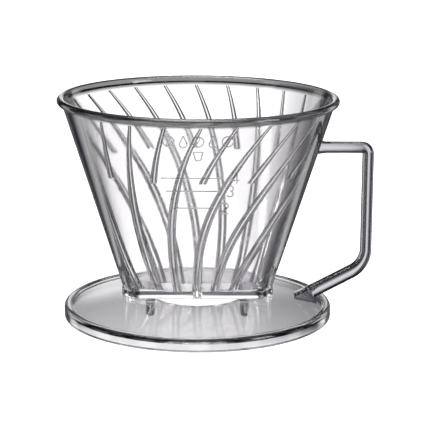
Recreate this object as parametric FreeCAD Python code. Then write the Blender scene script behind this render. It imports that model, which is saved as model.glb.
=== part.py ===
"""Clear plastic pour-over dripper: a ribbed wedge-shaped cup on a round saucer, with a bar handle.

Frame: millimetres, +Z up. The origin is on the cup's axis, level with the face that the saucer rests
on. The long side of the cup's oval bottom runs along X, and the handle is on the +X side.
"""

import FreeCAD, Part
import math
import os

V = FreeCAD.Vector

# ---------------------------------------------------------------- driving dimensions (mm, degrees)

# cup
WALL_TOP_Z = 89.4  # where the wall ends and the rim bead starts
WALL_TOP_RADIUS = 55.9  # outer radius of the wall there
BOTTOM_Z = 11.5  # underside of the cup wall
BOTTOM_HALF_STRAIGHT = 23.3  # half of the straight part of the oval bottom, along X
BOTTOM_RADIUS = 8.0  # outer radius of the oval bottom's ends
WALL = 2.0  # wall thickness, measured level
BEAD_RADIUS = 1.6
BEAD_STEP = 0.5  # how far the bead's centre is outside the wall's outer face
RIM_LIP = 0.7  # how far the rim's inner side leans out
RIM_BULGE = 0.18  # roundness of the rim's inner shoulder, as a share of its width

# collar and floor under the cup
COLLAR_STEP = 0.4  # how far the collar stands out past the wall above it
COLLAR_BOTTOM_Z = 8.3
FLOOR_CENTRE_Z = 11.6  # floor level at the drip hole
FLOOR_END_Z = 13.0  # floor level at the oval's ends
DRIP_HOLE_RADIUS = 2.0

# saucer
SAUCER_RADIUS = 55.9
RING_WIDTH = 3.5
RING_HEIGHT = 5.5
RING_OUTER_FILLET = 1.75
RING_INNER_FILLET = 1.0  # the plate's top meets the ring where this fillet starts
RING_FOOT_FILLET = 0.8
PLATE = 1.8  # plate thickness, measured upright
PLATE_FLAT_RADIUS = 34.0  # the plate is level inside this radius and slopes down outside it
WINDOW_RADIUS = 18.7

# legs that centre the dripper in the mouth of a server
LEG_RADIUS = 1.8
LEG_X = 19.5
LEG_GROUND_GAP = 0.4
LEG_TOP_Z = 11.0

# handle
BAR_RADIUS = 2.45
GRIP_REACH = 14.5  # from the wall's top edge out to the centre of the upright grip
HANDLE_TOP_Z = 71.3  # centre of the level top bar
TOP_BEND_RADIUS = 2.7
STRUT_RADIUS = 2.9  # the bar is a little thicker from the lower bend down to the foot
STRUT_ANGLE = 28.0  # slope of the strut that comes down to the saucer
STRUT_BEND_RADIUS = 11.0
ROOT_RADIUS = 3.2
ROOT_LENGTH = 2.6
FOOT_WIDTH = 6.4
FOOT_PLACE = 0.7368  # how far across the plate's free width, collar to ring, the foot stands, 0 to 1
FOOT_SINK = 1.38  # the strut's centre line is this far under the plate's top at that end
FOOT_LENGTH = 7.0  # along the strut
FOOT_TOE_HEIGHT = 2.6  # above the strut's centre line

# ribs inside the cup
RIB_PAIRS = 6  # long ribs in half of the cup; the other half repeats them turned by half a circle
RIB_RADIUS = 1.8
RIB_RISE_TOP = 0.35  # how far a rib stands out of the wall at its top
RIB_RISE_LOW = 1.7  # and from its middle down
RIB_GROW_END = 0.45  # fraction of the wall's height, from the bottom, where ribs reach full rise
RIB_TOP_GAP = 1.4  # smooth band between the ribs and the rim
SHORT_RIB_END_Z = 64.0
FIRST_RIB_TOP = 211.4  # place of the first long rib at the top, as degrees of the way round
FIRST_RIB_LOW = 206.0  # and at the bottom
RIB_PITCH_LOW = 20.8  # step between long ribs at the bottom; at the top it is even all round
RIB_SWEEP_POWER = 1.75  # how late the ribs start to lean over, going up
RIB_STEPS = 10

# raised marks on the front of the cup
MARK_RISE = 0.35
MARK_WIDTH = 0.55
LEVELS = ((2, 52.9, 16.6), (3, 60.8, 20.8), (4, 66.7, 24.6))  # numeral, height, line length
LEVEL_SHIFT = -2.2  # the lines sit this far off the centre line, to leave room for the numerals
NUMERAL_HEIGHT = 5.0
NUMERAL_WIDTH = 3.4
NUMERAL_GAP = 4.4  # from a line's end to the middle of its numeral
EMBLEM_Z = 83.0
EMBLEM_COUNT = 5  # beans and drops in turn
EMBLEM_PITCH = 5.7
EMBLEM_HEIGHT = 5.2
CUP_MARK_Z = 76.6

# ---------------------------------------------------------------- values worked out from those

BEAD_CENTRE_RADIUS = WALL_TOP_RADIUS + BEAD_STEP
COLLAR_RADIUS = BOTTOM_RADIUS + COLLAR_STEP
PLATE_TOP_Z = COLLAR_BOTTOM_Z
PLATE_EDGE_Z = RING_HEIGHT - RING_INNER_FILLET
RING_INNER_RADIUS = SAUCER_RADIUS - RING_WIDTH
LEG_Y = COLLAR_RADIUS + 0.5 * LEG_RADIUS
PLATE_FALL = (PLATE_TOP_Z - PLATE_EDGE_Z) / (RING_INNER_RADIUS - PLATE_FLAT_RADIUS)
GRIP_X = WALL_TOP_RADIUS + GRIP_REACH
STRUT_SLOPE = math.tan(math.radians(STRUT_ANGLE))
COLLAR_END_X = BOTTOM_HALF_STRAIGHT + COLLAR_RADIUS
STRUT_ALONG = math.cos(math.radians(STRUT_ANGLE))  # of each mm up the strut, this much is outward
STRUT_DEPTH = FOOT_TOE_HEIGHT * STRUT_ALONG + STRUT_RADIUS  # the foot's end, top to bottom
FOOT_REACH = (FOOT_LENGTH + STRUT_DEPTH * STRUT_SLOPE) * STRUT_ALONG
FOOT_INNER_X = COLLAR_END_X + FOOT_PLACE * (RING_INNER_RADIUS - COLLAR_END_X - FOOT_REACH)
RIB_STEP_TOP = 180.0 / RIB_PAIRS


# ---------------------------------------------------------------- small helpers


def save(name, shape):
    """Write one piece as a STEP file named after it."""
    shape.exportStep("parts/%s.step" % name)


def turned(shape, degrees):
    """A copy turned about the cup's axis."""
    copy = shape.copy()
    copy.rotate(V(0, 0, 0), V(0, 0, 1), degrees)
    return copy


def polygon_face(points):
    return Part.Face(Part.makePolygon(points + [points[0]]))


def revolved(points):
    """A ring-shaped solid from an outline of (radius, height) points."""
    face = polygon_face([V(r, 0, z) for r, z in points])
    return face.revolve(V(0, 0, 0), V(0, 0, 1), 360)


def arc(start, middle, end):
    return Part.Arc(start, middle, end).toShape()


def half_oval(half_straight, radius, z, side):
    """The round end of an oval, from its front to its back, on the +X side or the -X side."""
    x = side * half_straight
    return arc(V(x, -radius, z), V(x + side * radius, 0, z), V(x, radius, z))


def oval_face(half_straight, radius, z):
    right = half_oval(half_straight, radius, z, 1)
    left = half_oval(half_straight, radius, z, -1)
    edges = [right, left]
    for y in (-radius, radius):
        edges.append(Part.LineSegment(V(-half_straight, y, z), V(half_straight, y, z)).toShape())
    return Part.Face(Part.Wire(Part.__sortEdges__(edges)))


def oval_block(half_straight, radius, low_z, high_z):
    return oval_face(half_straight, radius, low_z).extrude(V(0, 0, high_z - low_z))


# ---------------------------------------------------------------- the wedge that the cup follows


def wedge(inset):
    """The cup's outline as a solid, from an oval at the bottom to a circle at the rim.

    Its sides are two flat triangles, front and back, and two slanted half cones. A positive inset
    makes it smaller all round, as the inside of the wall, and a negative one larger.
    """
    low = BOTTOM_RADIUS - inset
    high = WALL_TOP_RADIUS - inset
    faces = [oval_face(BOTTOM_HALF_STRAIGHT, low, BOTTOM_Z)]
    top_edges = []
    for side in (1, -1):
        bottom_edge = half_oval(BOTTOM_HALF_STRAIGHT, low, BOTTOM_Z, side)
        top_edge = half_oval(0, high, WALL_TOP_Z, side)
        faces.append(Part.makeRuledSurface(bottom_edge, top_edge))
        top_edges.append(top_edge)
        ends = [V(x, side * low, BOTTOM_Z) for x in (-BOTTOM_HALF_STRAIGHT, BOTTOM_HALF_STRAIGHT)]
        faces.append(polygon_face(ends + [V(0, side * high, WALL_TOP_Z)]))
    faces.append(Part.Face(Part.Wire(Part.__sortEdges__(top_edges))))
    shell = Part.makeShell(faces)
    shell.sewShape()
    solid = Part.makeSolid(shell)
    if solid.Volume < 0:
        solid.reverse()
    return solid


def wedge_section(z, inset):
    """Half of the straight length and the end radius of the wedge's level section at height z."""
    share = (z - BOTTOM_Z) / (WALL_TOP_Z - BOTTOM_Z)
    half_straight = BOTTOM_HALF_STRAIGHT * (1 - share)
    radius = BOTTOM_RADIUS + (WALL_TOP_RADIUS - BOTTOM_RADIUS) * share - inset
    return half_straight, radius


def point_round(z, inset, degrees):
    """A point on the wedge's level section, this share of the way round it, counted from +X."""
    half, radius = wedge_section(z, WALL)
    length = 4 * half + 2 * math.pi * radius
    way = (degrees % 360) / 360 * length
    quarter = math.pi * radius / 2
    reach = wedge_section(z, inset)[1]
    if way < quarter:
        centre, angle = half, way / radius
    elif way < quarter + 2 * half:
        return V(half - (way - quarter), reach, z)
    elif way < 3 * quarter + 2 * half:
        centre, angle = -half, math.pi / 2 + (way - quarter - 2 * half) / radius
    elif way < 3 * quarter + 4 * half:
        return V(way - 3 * quarter - 3 * half, -reach, z)
    else:
        centre, angle = half, (way - 4 * half) / radius
    return V(centre + reach * math.cos(angle), reach * math.sin(angle), z)


# ---------------------------------------------------------------- cup


def make_rim_bead():
    """A round bead that stands out all round, on the wall's top edge."""
    inner = WALL_TOP_RADIUS - WALL
    centre_z = WALL_TOP_Z + BEAD_RADIUS
    lip = V(inner + RIM_LIP, 0, centre_z)
    crown = V(BEAD_CENTRE_RADIUS, 0, centre_z + BEAD_RADIUS)
    outermost = V(BEAD_CENTRE_RADIUS + BEAD_RADIUS, 0, centre_z)
    underside = V(BEAD_CENTRE_RADIUS, 0, WALL_TOP_Z)
    start = V(inner, 0, WALL_TOP_Z)
    shoulder = (lip + crown) * 0.5 + V(lip.z - crown.z, 0, crown.x - lip.x) * RIM_BULGE
    edges = [
        Part.LineSegment(start, lip).toShape(),
        arc(lip, shoulder, crown),
        arc(crown, outermost, underside),
        Part.LineSegment(underside, start).toShape(),
    ]
    face = Part.Face(Part.Wire(edges))
    return face.revolve(V(0, 0, 0), V(0, 0, 1), 360)


def make_base_collar():
    """An oval ring that carries the wall, and stands on the saucer's plate."""
    outer = oval_block(BOTTOM_HALF_STRAIGHT, COLLAR_RADIUS, COLLAR_BOTTOM_Z, BOTTOM_Z)
    inner = oval_block(BOTTOM_HALF_STRAIGHT, BOTTOM_RADIUS - WALL, COLLAR_BOTTOM_Z, BOTTOM_Z)
    return outer.cut(inner)


def make_cup_floor(inside):
    """The floor falls from both ends to the drip hole."""
    end_x = BOTTOM_HALF_STRAIGHT + BOTTOM_RADIUS
    outline = [
        V(-end_x, -WALL_TOP_RADIUS, COLLAR_BOTTOM_Z),
        V(end_x, -WALL_TOP_RADIUS, COLLAR_BOTTOM_Z),
        V(end_x, -WALL_TOP_RADIUS, FLOOR_END_Z),
        V(DRIP_HOLE_RADIUS, -WALL_TOP_RADIUS, FLOOR_CENTRE_Z),
        V(-DRIP_HOLE_RADIUS, -WALL_TOP_RADIUS, FLOOR_CENTRE_Z),
        V(-end_x, -WALL_TOP_RADIUS, FLOOR_END_Z),
    ]
    under_floor = polygon_face(outline).extrude(V(0, 2 * WALL_TOP_RADIUS, 0))
    plug = oval_block(BOTTOM_HALF_STRAIGHT, BOTTOM_RADIUS - WALL, COLLAR_BOTTOM_Z, BOTTOM_Z)
    body = plug.fuse(inside.common(under_floor)).removeSplitter()
    hole = Part.makeCylinder(DRIP_HOLE_RADIUS, FLOOR_END_Z, V(0, 0, COLLAR_BOTTOM_Z - 1))
    return body.cut(hole)


# ---------------------------------------------------------------- ribs


def rib_places(index):
    """Where a rib is at the top and at the bottom. Long ribs are even, and short ribs lie between."""
    top = FIRST_RIB_TOP + RIB_STEP_TOP * index / 2
    pair = index // 2
    low = FIRST_RIB_LOW + RIB_PITCH_LOW * pair
    if index % 2:
        beyond = FIRST_RIB_LOW + (RIB_PITCH_LOW * (pair + 1) if pair + 1 < RIB_PAIRS else 180)
        low = (low + beyond) / 2
    return top, low


def rib_path(index, low_z, high_z):
    """The line that a rib's centre follows, sunk into the wall most at the top."""
    top, low = rib_places(index)
    points = []
    for step in range(RIB_STEPS + 1):
        z = low_z + (high_z - low_z) * step / RIB_STEPS
        share = (z - BOTTOM_Z) / (WALL_TOP_Z - BOTTOM_Z)
        lean = max(share, 0) ** RIB_SWEEP_POWER
        fade = min(max((share - RIB_GROW_END) / (1 - RIB_GROW_END), 0), 1)
        rise = RIB_RISE_LOW + (RIB_RISE_TOP - RIB_RISE_LOW) * fade
        points.append(point_round(z, WALL - (RIB_RADIUS - rise), low + (top - low) * lean))
    curve = Part.BSplineCurve()
    curve.interpolate(points)
    return curve


def make_rib(index, low_z, cavity):
    """A round bar along the rib's path, of which only the part in the cup's cavity is kept."""
    high_z = WALL_TOP_Z - RIB_TOP_GAP
    curve = rib_path(index, low_z, high_z)
    start = curve.value(curve.FirstParameter)
    along = curve.tangent(curve.FirstParameter)[0]
    spine = Part.Wire(curve.toShape())
    section = Part.Wire(Part.makeCircle(RIB_RADIUS, start, along))
    bar = spine.makePipeShell([section], True, True)
    return bar.common(cavity)


# ---------------------------------------------------------------- saucer


def rounded_corner(corner, before, after, radius):
    """The quarter arc that replaces a square corner, for edges that run level or upright."""
    toward_before = (before - corner).normalize() * radius
    toward_after = (after - corner).normalize() * radius
    centre = corner + toward_before + toward_after
    middle = centre + (corner - centre).normalize() * radius
    return corner + toward_before, middle, corner + toward_after


def make_saucer_ring():
    """The raised outer edge, with a level face underneath to rest on."""
    corners = [
        (V(RING_INNER_RADIUS, 0, 0), RING_FOOT_FILLET),
        (V(SAUCER_RADIUS, 0, 0), RING_FOOT_FILLET),
        (V(SAUCER_RADIUS, 0, RING_HEIGHT), RING_OUTER_FILLET),
        (V(RING_INNER_RADIUS, 0, RING_HEIGHT), RING_INNER_FILLET),
    ]
    arcs = []
    for number, (corner, radius) in enumerate(corners):
        before = corners[number - 1][0]
        after = corners[(number + 1) % len(corners)][0]
        arcs.append(rounded_corner(corner, before, after, radius))
    edges = []
    for number, points in enumerate(arcs):
        edges.append(arc(*points))
        following = arcs[(number + 1) % len(arcs)]
        edges.append(Part.LineSegment(points[2], following[0]).toShape())
    face = Part.Face(Part.Wire(edges))
    return face.revolve(V(0, 0, 0), V(0, 0, 1), 360)


def plate_block():
    """The plate without its leg holes: level round the window, then sloping down to the ring."""
    return revolved(
        [
            (WINDOW_RADIUS, PLATE_TOP_Z),
            (PLATE_FLAT_RADIUS, PLATE_TOP_Z),
            (RING_INNER_RADIUS, PLATE_EDGE_Z),
            (RING_INNER_RADIUS, PLATE_EDGE_Z - PLATE),
            (PLATE_FLAT_RADIUS, PLATE_TOP_Z - PLATE),
            (WINDOW_RADIUS, PLATE_TOP_Z - PLATE),
        ]
    )


def make_legs(collar):
    """Four upright pins on the collar's sides, through the plate, with rounded lower ends."""
    low_z = LEG_GROUND_GAP + LEG_RADIUS
    legs = []
    for x, y in ((-LEG_X, -LEG_Y), (LEG_X, -LEG_Y), (LEG_X, LEG_Y), (-LEG_X, LEG_Y)):
        pin = Part.makeCylinder(LEG_RADIUS, LEG_TOP_Z - low_z, V(x, y, low_z))
        tip = Part.makeSphere(LEG_RADIUS, V(x, y, low_z))
        legs.append(pin.fuse(tip).removeSplitter().cut(collar))
    return legs


def make_saucer_plate(legs):
    plate = plate_block()
    for leg in legs:
        plate = plate.cut(leg)
    return plate


# ---------------------------------------------------------------- handle


def wall_x(z):
    """Where the wall's outside is, on the handle's side."""
    half_straight, radius = wedge_section(z, 0)
    return half_straight + radius


def plate_z(radius):
    """Height of the saucer plate's top."""
    return PLATE_TOP_Z - max(radius - PLATE_FLAT_RADIUS, 0) * PLATE_FALL


def strut_z(x):
    """Height of the strut's centre line."""
    return plate_z(FOOT_INNER_X) - FOOT_SINK + (x - FOOT_INNER_X) * STRUT_SLOPE


def make_handle_root(outside):
    """A short cone that spreads the top bar onto the cup wall."""
    start = wall_x(HANDLE_TOP_Z)
    spread = start - ROOT_RADIUS
    cone = Part.makeCone(
        ROOT_RADIUS, BAR_RADIUS, ROOT_LENGTH + ROOT_RADIUS, V(spread, 0, HANDLE_TOP_Z), V(1, 0, 0)
    )
    return cone.cut(outside)


def strut_axis():
    """Unit vectors along the strut, upwards, and square to it, downwards."""
    angle = math.radians(STRUT_ANGLE)
    return V(math.cos(angle), 0, math.sin(angle)), V(math.sin(angle), 0, -math.cos(angle))


def strut_foot_point():
    """Where the strut's centre line meets the square end of the foot."""
    along, across = strut_axis()
    toe_top = V(FOOT_INNER_X, 0, strut_z(FOOT_INNER_X) + FOOT_TOE_HEIGHT)
    return toe_top + along * FOOT_LENGTH + across * (FOOT_TOE_HEIGHT * along.x)


def make_handle_foot():
    """The block that joins the strut to the plate: its top slopes with the strut."""
    along, across = strut_axis()
    toe_top = V(FOOT_INNER_X, 0, strut_z(FOOT_INNER_X) + FOOT_TOE_HEIGHT)
    end_top = toe_top + along * FOOT_LENGTH
    end_low = strut_foot_point() + across * STRUT_RADIUS
    outline = [V(FOOT_INNER_X, 0, 0), toe_top, end_top, end_low, V(end_low.x, 0, 0)]
    block = polygon_face(outline).extrude(V(0, FOOT_WIDTH, 0))
    block.translate(V(0, -FOOT_WIDTH / 2, 0))
    under_plate_top = revolved(
        [
            (1, -1),
            (1, PLATE_TOP_Z),
            (PLATE_FLAT_RADIUS, PLATE_TOP_Z),
            (RING_INNER_RADIUS, PLATE_EDGE_Z),
            (RING_INNER_RADIUS, -1),
        ]
    )
    return block.cut(under_plate_top)


def bar_piece(edges, section):
    return Part.Wire(edges).makePipeShell([section], True, True)


def make_handle_bar(foot):
    """A round bar: level top, tight bend, upright grip, wide bend, and a slightly thicker strut."""
    bend = TOP_BEND_RADIUS
    start = V(wall_x(HANDLE_TOP_Z) + ROOT_LENGTH, 0, HANDLE_TOP_Z)
    top_end = V(GRIP_X - bend, 0, HANDLE_TOP_Z)
    grip_top = V(GRIP_X, 0, HANDLE_TOP_Z - bend)
    slant = bend * math.sqrt(0.5)
    bend_middle = V(GRIP_X - bend + slant, 0, HANDLE_TOP_Z - bend + slant)

    turn = math.radians(90 - STRUT_ANGLE)
    setback = STRUT_BEND_RADIUS * math.tan(turn / 2)
    grip_low = V(GRIP_X, 0, strut_z(GRIP_X) + setback)
    centre = V(GRIP_X - STRUT_BEND_RADIUS, 0, grip_low.z)
    low_middle = centre + V(math.cos(turn / 2), 0, -math.sin(turn / 2)) * STRUT_BEND_RADIUS
    strut_top = centre + V(math.cos(turn), 0, -math.sin(turn)) * STRUT_BEND_RADIUS

    upper = bar_piece(
        [
            Part.LineSegment(start, top_end).toShape(),
            arc(top_end, bend_middle, grip_top),
            Part.LineSegment(grip_top, grip_low).toShape(),
        ],
        Part.Wire(Part.makeCircle(BAR_RADIUS, start, V(1, 0, 0))),
    )
    strut_way = strut_foot_point() - strut_top
    lower = Part.Wire([arc(grip_low, low_middle, strut_top)]).makePipeShell(
        [
            Part.Wire(Part.makeCircle(BAR_RADIUS, grip_low, V(0, 0, -1))),
            Part.Wire(Part.makeCircle(STRUT_RADIUS, strut_top, strut_way)),
        ],
        True,
        True,
    )
    strut = Part.makeCylinder(STRUT_RADIUS, strut_way.Length, strut_top, strut_way)
    return upper.fuse([lower, strut]).cut(foot)


# ---------------------------------------------------------------- raised marks


def stroke(start, end):
    """A straight raised line between two (x, z) points, square-ended, as an upright slab."""
    way = V(end[0] - start[0], 0, end[1] - start[1])
    side = V(-way.z, 0, way.x).normalize() * (MARK_WIDTH / 2)
    a = V(start[0], 0, start[1])
    b = V(end[0], 0, end[1])
    return polygon_face([a - side, b - side, b + side, a + side]).extrude(V(0, -WALL_TOP_RADIUS * 1.1, 0))


def bow(centre, radius, first, last):
    """A raised line along an arc, between two angles counted from +X towards +Z."""
    outer = radius + MARK_WIDTH / 2
    inner = radius - MARK_WIDTH / 2

    def at(reach, degrees):
        angle = math.radians(degrees)
        return V(centre[0] + reach * math.cos(angle), 0, centre[1] + reach * math.sin(angle))

    middle = (first + last) / 2
    edges = [
        arc(at(outer, first), at(outer, middle), at(outer, last)),
        Part.LineSegment(at(outer, last), at(inner, last)).toShape(),
        arc(at(inner, last), at(inner, middle), at(inner, first)),
        Part.LineSegment(at(inner, first), at(outer, first)).toShape(),
    ]
    return Part.Face(Part.Wire(edges)).extrude(V(0, -WALL_TOP_RADIUS * 1.1, 0))


def numeral(digit, x, z):
    """Strokes of a plain 2, 3 or 4 centred at (x, z)."""
    w = NUMERAL_WIDTH / 2
    h = NUMERAL_HEIGHT / 2
    if digit == 4:
        return [
            stroke((x + w * 0.4, z - h), (x + w * 0.4, z + h)),
            stroke((x + w * 0.4, z + h), (x - w, z - h * 0.4)),
            stroke((x - w, z - h * 0.4), (x + w, z - h * 0.4)),
        ]
    if digit == 3:
        r = h / 2
        return [bow((x, z + r), r, -90, 150), bow((x, z - r), r, -150, 90)]
    r = w * 0.9
    knee = (x + r * math.cos(math.radians(-35)), z + h - r + r * math.sin(math.radians(-35)))
    return [
        bow((x, z + h - r), r, -35, 165),
        stroke(knee, (x - w, z - h)),
        stroke((x - w, z - h), (x + w, z - h)),
    ]


def drop_strokes(x, z):
    """A water drop: a round belly and two sides that meet at a point."""
    r = EMBLEM_HEIGHT * 0.28
    belly = z - EMBLEM_HEIGHT / 2 + r
    tip = (x, z + EMBLEM_HEIGHT / 2)
    left = (x + r * math.cos(math.radians(150)), belly + r * math.sin(math.radians(150)))
    right = (x + r * math.cos(math.radians(30)), belly + r * math.sin(math.radians(30)))
    return [bow((x, belly), r, 150, 390), stroke(left, tip), stroke(right, tip)]


def bean_strokes(x, z):
    """A coffee bean: a round outline with a crease across it."""
    r = EMBLEM_HEIGHT * 0.42
    q = r * 0.55
    return [
        bow((x, z), r, 0, 180),
        bow((x, z), r, 180, 360),
        bow((x - q * 0.5, z + q), q, -60, 60),
        bow((x + q * 0.5, z - q), q, 120, 240),
    ]


def cup_strokes(x, z):
    """A small cup: rim line, two slanted sides and a base line."""
    h = EMBLEM_HEIGHT * 0.36
    return [
        stroke((x - h, z + h), (x + h, z + h)),
        stroke((x - h, z + h), (x - h * 0.5, z - h)),
        stroke((x + h, z + h), (x + h * 0.5, z - h)),
        stroke((x - h * 0.5, z - h), (x + h * 0.5, z - h)),
    ]


def make_mark(strokes, skin):
    """The strokes, kept only where they cross the thin layer over the wall's outside."""
    slab = strokes[0].fuse(strokes[1:]) if len(strokes) > 1 else strokes[0]
    return skin.common(slab)


def save_level_marks(skin):
    """Each level has a line across the front and its numeral at the line's right end."""
    for digit, z, length in LEVELS:
        left = LEVEL_SHIFT - length / 2
        right = LEVEL_SHIFT + length / 2
        save("level_line_%d" % digit, make_mark([stroke((left, z), (right, z))], skin))
        strokes = numeral(digit, right + NUMERAL_GAP, z)
        save("level_numeral_%d" % digit, make_mark(strokes, skin))


def save_emblem(skin):
    """A row of beans and drops, with a small cup under it."""
    for place in range(EMBLEM_COUNT):
        x = (place - (EMBLEM_COUNT - 1) / 2) * EMBLEM_PITCH
        kind, draw = ("drop", drop_strokes) if place % 2 else ("bean", bean_strokes)
        save("%s_mark_%d" % (kind, place + 1), make_mark(draw(x, EMBLEM_Z), skin))
    save("cup_mark", make_mark(cup_strokes(0, CUP_MARK_Z), skin))


# ---------------------------------------------------------------- the whole dripper


def main():
    os.makedirs("parts", exist_ok=True)
    outside = wedge(0)
    inside = wedge(WALL)

    floor = make_cup_floor(inside)
    collar = make_base_collar()
    save("cup_wall", outside.cut(inside))
    save("rim_bead", make_rim_bead())
    save("cup_floor", floor)
    save("base_collar", collar)

    legs = make_legs(collar)
    save("saucer_ring", make_saucer_ring())
    save("saucer_plate", make_saucer_plate(legs))
    for number, leg in enumerate(legs, 1):
        save("locating_leg_%d" % number, leg)

    foot = make_handle_foot()
    save("handle_root", make_handle_root(outside))
    save("handle_foot", foot)
    save("handle_bar", make_handle_bar(foot))

    cavity = inside.cut(floor)
    for index in range(2 * RIB_PAIRS):
        low_z = SHORT_RIB_END_Z if index % 2 else BOTTOM_Z - 1
        kind = "short" if index % 2 else "long"
        rib = make_rib(index, low_z, cavity)
        number = index // 2 + 1
        save("%s_rib_%02d" % (kind, number), rib)
        save("%s_rib_%02d" % (kind, number + RIB_PAIRS), turned(rib, 180))

    skin = wedge(-MARK_RISE).cut(outside)
    save_level_marks(skin)
    save_emblem(skin)


main()
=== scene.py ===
"""Clear plastic pour-over dripper: a ribbed cup on a round saucer, with a bar handle.

Three mouldings (cup, saucer, handle) and the raised marks on the cup's front, in metres, in the
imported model's frame: +Z up, origin on the cup's axis, level with the table that the saucer stands on.
"""

import math

import bmesh
import bpy
from mathutils import Euler, Matrix, Vector


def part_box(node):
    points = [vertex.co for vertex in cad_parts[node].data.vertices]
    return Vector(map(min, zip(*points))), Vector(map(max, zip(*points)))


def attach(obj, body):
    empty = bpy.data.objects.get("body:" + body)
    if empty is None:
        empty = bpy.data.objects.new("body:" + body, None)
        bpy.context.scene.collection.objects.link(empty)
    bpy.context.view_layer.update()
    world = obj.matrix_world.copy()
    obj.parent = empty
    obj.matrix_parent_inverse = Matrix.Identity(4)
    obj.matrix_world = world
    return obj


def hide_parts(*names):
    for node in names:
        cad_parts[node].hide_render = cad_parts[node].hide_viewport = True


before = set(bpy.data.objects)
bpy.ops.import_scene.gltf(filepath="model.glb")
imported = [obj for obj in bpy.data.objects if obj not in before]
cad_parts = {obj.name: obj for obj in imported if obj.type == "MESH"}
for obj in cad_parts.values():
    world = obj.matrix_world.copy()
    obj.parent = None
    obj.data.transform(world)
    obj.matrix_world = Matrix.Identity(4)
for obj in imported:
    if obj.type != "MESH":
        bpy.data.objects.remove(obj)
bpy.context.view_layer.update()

MM = 0.001

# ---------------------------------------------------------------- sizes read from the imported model

WALL_LOW, WALL_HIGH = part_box("cup_wall")
BEAD_LOW, BEAD_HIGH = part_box("rim_bead")
COLLAR_LOW, COLLAR_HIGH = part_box("base_collar")
PLATE_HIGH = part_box("saucer_plate")[1]
RING_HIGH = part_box("saucer_ring")[1]
BAR_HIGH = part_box("handle_bar")[1]
ROOT_LOW, ROOT_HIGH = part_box("handle_root")
FOOT_LOW, FOOT_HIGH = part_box("handle_foot")
SHORT_RIB_LOW_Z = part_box("short_rib_01")[0].z

RIM_RADIUS = WALL_HIGH.x  # outer radius of the wall's top edge
WALL_TOP_Z = WALL_HIGH.z
BOTTOM_Z = WALL_LOW.z
COLLAR_RADIUS = COLLAR_HIGH.y
COLLAR_LOW_Z = COLLAR_LOW.z
HALF_STRAIGHT = COLLAR_HIGH.x - COLLAR_RADIUS  # half of the straight side of the oval bottom
BEAD_RADIUS = (BEAD_HIGH.z - BEAD_LOW.z) / 2
BEAD_CENTRE = BEAD_HIGH.x - BEAD_RADIUS
BEAD_CENTRE_Z = BEAD_LOW.z + BEAD_RADIUS
PLATE_TOP_Z = PLATE_HIGH.z
RING_RADIUS = RING_HIGH.x
RING_INNER = PLATE_HIGH.x
RING_TOP_Z = RING_HIGH.z
RING_LOW_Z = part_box("saucer_ring")[0].z

# ---------------------------------------------------------------- sizes that a box can't tell

WALL = 2.0 * MM
COLLAR_STEP = 0.4 * MM
COLLAR_EDGE = 0.37 * MM  # rounding of the collar's edges
RIM_LIP = 0.7 * MM  # how far the rim's inner side leans out
RIM_BULGE = 0.43 * MM  # roundness of its inner shoulder
FLOOR_CENTRE_Z = 11.6 * MM  # height of the cup's floor at the drip hole
FLOOR_END_Z = 13.0 * MM  # and at the ends of the oval
FLOOR_BITE = 0.5 * MM  # how far the floor's slopes reach into the wall
DRIP_HOLE = 2.0 * MM  # radius
PLATE = 1.8 * MM
PLATE_FLAT = 34.0 * MM  # radius inside which the plate is level
WINDOW = 18.7 * MM  # radius
RING_OUTER_FILLET = 1.75 * MM
RING_INNER_FILLET = 0.931 * MM
RING_FOOT_FILLET = 0.8 * MM
LEG_RADIUS = 1.8 * MM
BAR_RADIUS = 2.45 * MM
STRUT_RADIUS = 2.9 * MM
ROOT_RADIUS = 3.2 * MM
ROOT_BITE = ROOT_RADIUS / 2  # how far inside the wall the root starts
TOP_BEND = 2.7 * MM
STRUT_BEND = 11.0 * MM
STRUT_ANGLE = math.radians(28)  # how far the strut rises from level
FOOT_LENGTH = 7.0 * MM
FOOT_TOE_HEIGHT = 2.6 * MM
FOOT_SINK = 1.38 * MM  # how far the foot reaches down into the plate
FOOT_EDGE = 0.35 * MM  # rounding of the foot's edges
RING_FILLET_START = 1.0 * MM  # how far below the ring's top the plate meets it
MARK_EDGE = 0.07 * MM  # rounding of the raised marks' edges
SEAM = 0.03 * MM  # hairline between two mouldings
BOTTOM_RADIUS = COLLAR_RADIUS - COLLAR_STEP

RIB_PAIRS = 6  # long ribs in half of the cup; the other half repeats them turned by half a circle
RIB_RADIUS = 1.8 * MM
RIB_RISE_TOP = 0.35 * MM  # how far a rib stands out of the wall at the top
RIB_RISE_LOW = 1.7 * MM  # and low down
RIB_GROW_END = 0.45  # share of the wall's height from which a rib gets slimmer
RIB_TOP_RADIUS = 0.75 * MM
RIB_TAPER_POWER = 1.5
RIB_TOP_GAP = 0.7 * MM  # how far below the wall's top edge the ribs end
RIB_FOOT_Z = BOTTOM_Z - 1.0 * MM
FIRST_RIB_TOP = 211.4  # place round the cup, in degrees, at the top
FIRST_RIB_LOW = 206.0  # and at the bottom
RIB_PITCH_LOW = 20.8
RIB_SWEEP_POWER = 1.75
RIB_STEPS = 18
RIB_CORNERS = 28  # corners round a rib
RIB_BACK = 0.2  # how much of its roundness a rib keeps on the side that is sunk into the wall

ROUND_STEPS = 256  # corners round the cup and the saucer
SMOOTH_ANGLE = math.radians(24)
FACING_MATCH = math.cos(math.radians(2))  # how closely a face of the wall has to face its way
BEAD_STEPS = 16

# ---------------------------------------------------------------- finishes, light and camera

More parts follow.
